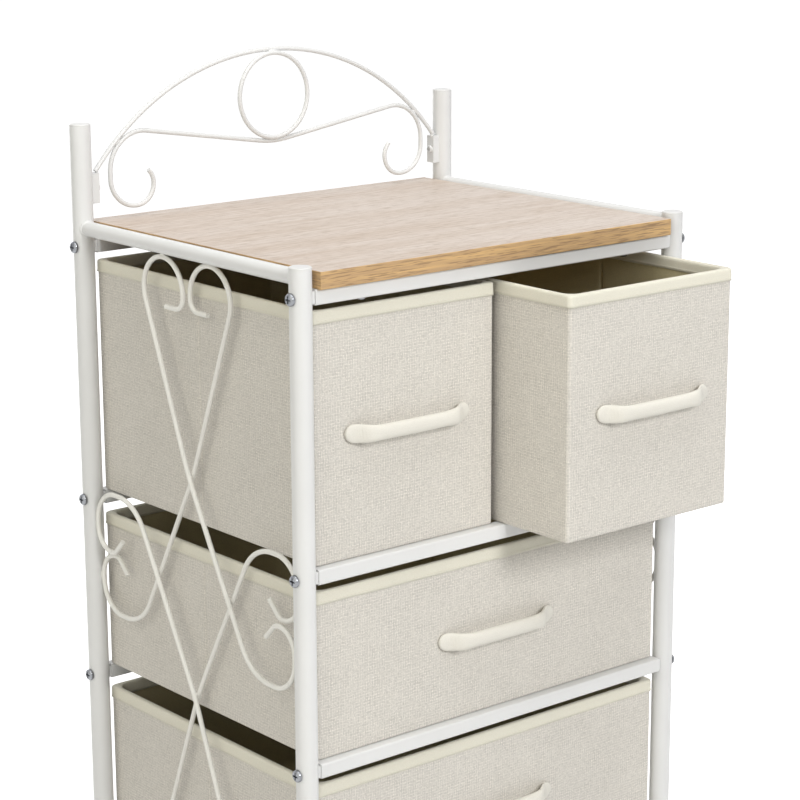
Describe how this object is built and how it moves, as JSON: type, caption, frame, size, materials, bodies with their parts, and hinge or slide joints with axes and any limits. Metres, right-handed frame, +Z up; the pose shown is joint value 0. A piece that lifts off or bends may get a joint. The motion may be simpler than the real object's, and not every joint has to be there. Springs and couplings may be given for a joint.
{
  "type": "fabric drawer dresser",
  "caption": "Upright steel-tube dresser with wire scrolls at the sides and an arch at the back, a wood-look top board and fabric drawers that slide out on runners.",
  "frame": {"origin": "on the floor, in the middle between the four posts", "axes": "+Z up, +X to the right as seen from the front, the front faces -Y"},
  "size_m": [0.4506, 0.437, 0.8442],
  "materials": {
    "white_powder_coat": "smooth satin white powder coat",
    "white_plastic": "moulded white plastic",
    "zinc_steel": "bright zinc plated steel",
    "oak_board": "wood-grain laminate, pale greyed oak top and golden edges",
    "linen_cover": "slubby linen-look weave, warm beige",
    "hem_binding": "cream non-woven binding, stitched",
    "drawer_lining": "olive-beige non-woven lining",
    "handle_strap": "cream padded strap",
    "stiffener_board": "grey board, out of sight",
    "base_board": "board wrapped in lining fabric"
  },
  "bodies": {
    "frame": {"arch_ring": "white_powder_coat", "arch_screws": "white_powder_coat", "arch_scroll_wire": "white_powder_coat", "arch_tabs": "white_powder_coat", "arch_wire": "white_powder_coat", "back_cross_rail_1": "white_powder_coat", "back_cross_rail_2": "white_powder_coat", "back_cross_rail_3": "white_powder_coat", "back_cross_rail_4": "white_powder_coat", "back_left_post": "white_powder_coat", "back_right_post": "white_powder_coat", "board_screws": "zinc_steel", "drawer_runners": "white_powder_coat", "front_cross_rail_1": "white_powder_coat", "front_cross_rail_2": "white_powder_coat", "front_cross_rail_3": "white_powder_coat", "front_cross_rail_4": "white_powder_coat", "front_left_post": "white_powder_coat", "front_right_post": "white_powder_coat", "left_bottom_side_rail": "white_powder_coat", "left_scroll_lower_back": "white_powder_coat", "left_scroll_lower_front": "white_powder_coat", "left_scroll_upper_back": "white_powder_coat", "left_scroll_upper_front": "white_powder_coat", "left_top_side_rail": "white_powder_coat", "post_caps": "white_plastic", "post_feet": "white_plastic", "rail_end_plugs": "zinc_steel", "rail_screws": "zinc_steel", "right_bottom_side_rail": "white_powder_coat", "right_scroll_lower_back": "white_powder_coat", "right_scroll_lower_front": "white_powder_coat", "right_scroll_upper_back": "white_powder_coat", "right_scroll_upper_front": "white_powder_coat", "right_top_side_rail": "white_powder_coat", "top_board": "oak_board"},
    "left_small_drawer": {"left_small_drawer_base_board": "base_board", "left_small_drawer_binding": "hem_binding", "left_small_drawer_cover": "linen_cover", "left_small_drawer_handle": "handle_strap", "left_small_drawer_lining": "drawer_lining", "left_small_drawer_wall_boards": "stiffener_board"},
    "right_small_drawer": {"right_small_drawer_base_board": "base_board", "right_small_drawer_binding": "hem_binding", "right_small_drawer_cover": "linen_cover", "right_small_drawer_handle": "handle_strap", "right_small_drawer_lining": "drawer_lining", "right_small_drawer_wall_boards": "stiffener_board"},
    "upper_wide_drawer": {"upper_wide_drawer_base_board": "base_board", "upper_wide_drawer_binding": "hem_binding", "upper_wide_drawer_cover": "linen_cover", "upper_wide_drawer_handle": "handle_strap", "upper_wide_drawer_lining": "drawer_lining", "upper_wide_drawer_wall_boards": "stiffener_board"},
    "lower_wide_drawer": {"lower_wide_drawer_base_board": "base_board", "lower_wide_drawer_binding": "hem_binding", "lower_wide_drawer_cover": "linen_cover", "lower_wide_drawer_handle": "handle_strap", "lower_wide_drawer_lining": "drawer_lining", "lower_wide_drawer_wall_boards": "stiffener_board"}
  },
  "joints": [
    {"name": "left_small_drawer_slide", "type": "slide", "parent": "frame", "child": "left_small_drawer", "axis": [0, -1, 0], "range_m": [0, 0.25]},
    {"name": "right_small_drawer_slide", "type": "slide", "parent": "frame", "child": "right_small_drawer", "axis": [0, -1, 0], "range_m": [-0.0875, 0.1625]},
    {"name": "upper_wide_drawer_slide", "type": "slide", "parent": "frame", "child": "upper_wide_drawer", "axis": [0, -1, 0], "range_m": [0, 0.25]},
    {"name": "lower_wide_drawer_slide", "type": "slide", "parent": "frame", "child": "lower_wide_drawer", "axis": [0, -1, 0], "range_m": [0, 0.25]}
  ]
}
